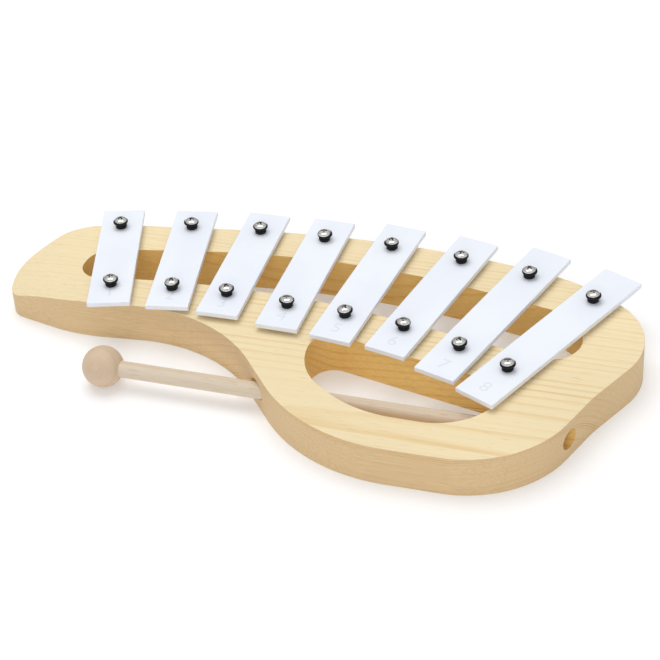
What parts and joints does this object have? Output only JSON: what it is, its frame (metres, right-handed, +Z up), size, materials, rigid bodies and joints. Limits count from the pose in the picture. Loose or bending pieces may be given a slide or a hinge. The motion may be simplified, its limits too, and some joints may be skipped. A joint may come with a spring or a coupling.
{
  "type": "bar chime",
  "caption": "Toy xylophone: white metal bars screwed over a slot in a shaped pine board, with a hand hole and a round-headed mallet stored in a bore.",
  "frame": {"origin": "under the middle of the whole instrument's box, on the surface that the board rests on", "axes": "+X along the board from the narrow tail to the wide bowl, along the mallet's bore; +Y to the arched back; +Z up through the bars"},
  "size_m": [0.3164, 0.1622, 0.0312],
  "materials": {
    "pine": "clear satin lacquer on planed pine",
    "white_paint": "satin white enamel",
    "nickel": "bright nickel plate",
    "black_rubber": "smooth matt rubber",
    "beech": "sanded beech, unlacquered",
    "birch": "sanded birch, unlacquered"
  },
  "bodies": {
    "frame": {"board": "pine", "bar_1": "white_paint", "bar_2": "white_paint", "bar_3": "white_paint", "bar_4": "white_paint", "bar_5": "white_paint", "bar_6": "white_paint", "bar_7": "white_paint", "bar_8": "white_paint", "bar_1_front_screw": "nickel", "bar_1_front_sleeve": "black_rubber", "bar_1_front_cushion": "black_rubber", "bar_1_back_screw": "nickel", "bar_1_back_sleeve": "black_rubber", "bar_1_back_cushion": "black_rubber", "bar_2_front_screw": "nickel", "bar_2_front_sleeve": "black_rubber", "bar_2_front_cushion": "black_rubber", "bar_2_back_screw": "nickel", "bar_2_back_sleeve": "black_rubber", "bar_2_back_cushion": "black_rubber", "bar_3_front_screw": "nickel", "bar_3_front_sleeve": "black_rubber", "bar_3_front_cushion": "black_rubber", "bar_3_back_screw": "nickel", "bar_3_back_sleeve": "black_rubber", "bar_3_back_cushion": "black_rubber", "bar_4_front_screw": "nickel", "bar_4_front_sleeve": "black_rubber", "bar_4_front_cushion": "black_rubber", "bar_4_back_screw": "nickel", "bar_4_back_sleeve": "black_rubber", "bar_4_back_cushion": "black_rubber", "bar_5_front_screw": "nickel", "bar_5_front_sleeve": "black_rubber", "bar_5_front_cushion": "black_rubber", "bar_5_back_screw": "nickel", "bar_5_back_sleeve": "black_rubber", "bar_5_back_cushion": "black_rubber", "bar_6_front_screw": "nickel", "bar_6_front_sleeve": "black_rubber", "bar_6_front_cushion": "black_rubber", "bar_6_back_screw": "nickel", "bar_6_back_sleeve": "black_rubber", "bar_6_back_cushion": "black_rubber", "bar_7_front_screw": "nickel", "bar_7_front_sleeve": "black_rubber", "bar_7_front_cushion": "black_rubber", "bar_7_back_screw": "nickel", "bar_7_back_sleeve": "black_rubber", "bar_7_back_cushion": "black_rubber", "bar_8_front_screw": "nickel", "bar_8_front_sleeve": "black_rubber", "bar_8_front_cushion": "black_rubber", "bar_8_back_screw": "nickel", "bar_8_back_sleeve": "black_rubber", "bar_8_back_cushion": "black_rubber"},
    "mallet": {"mallet_head": "beech", "mallet_stick": "birch"}
  },
  "joints": [
    {"name": "mallet_slide", "type": "slide", "parent": "frame", "child": "mallet", "axis": [-1, -0.0087, 0], "range_m": [-0.062, 0.15]}
  ]
}
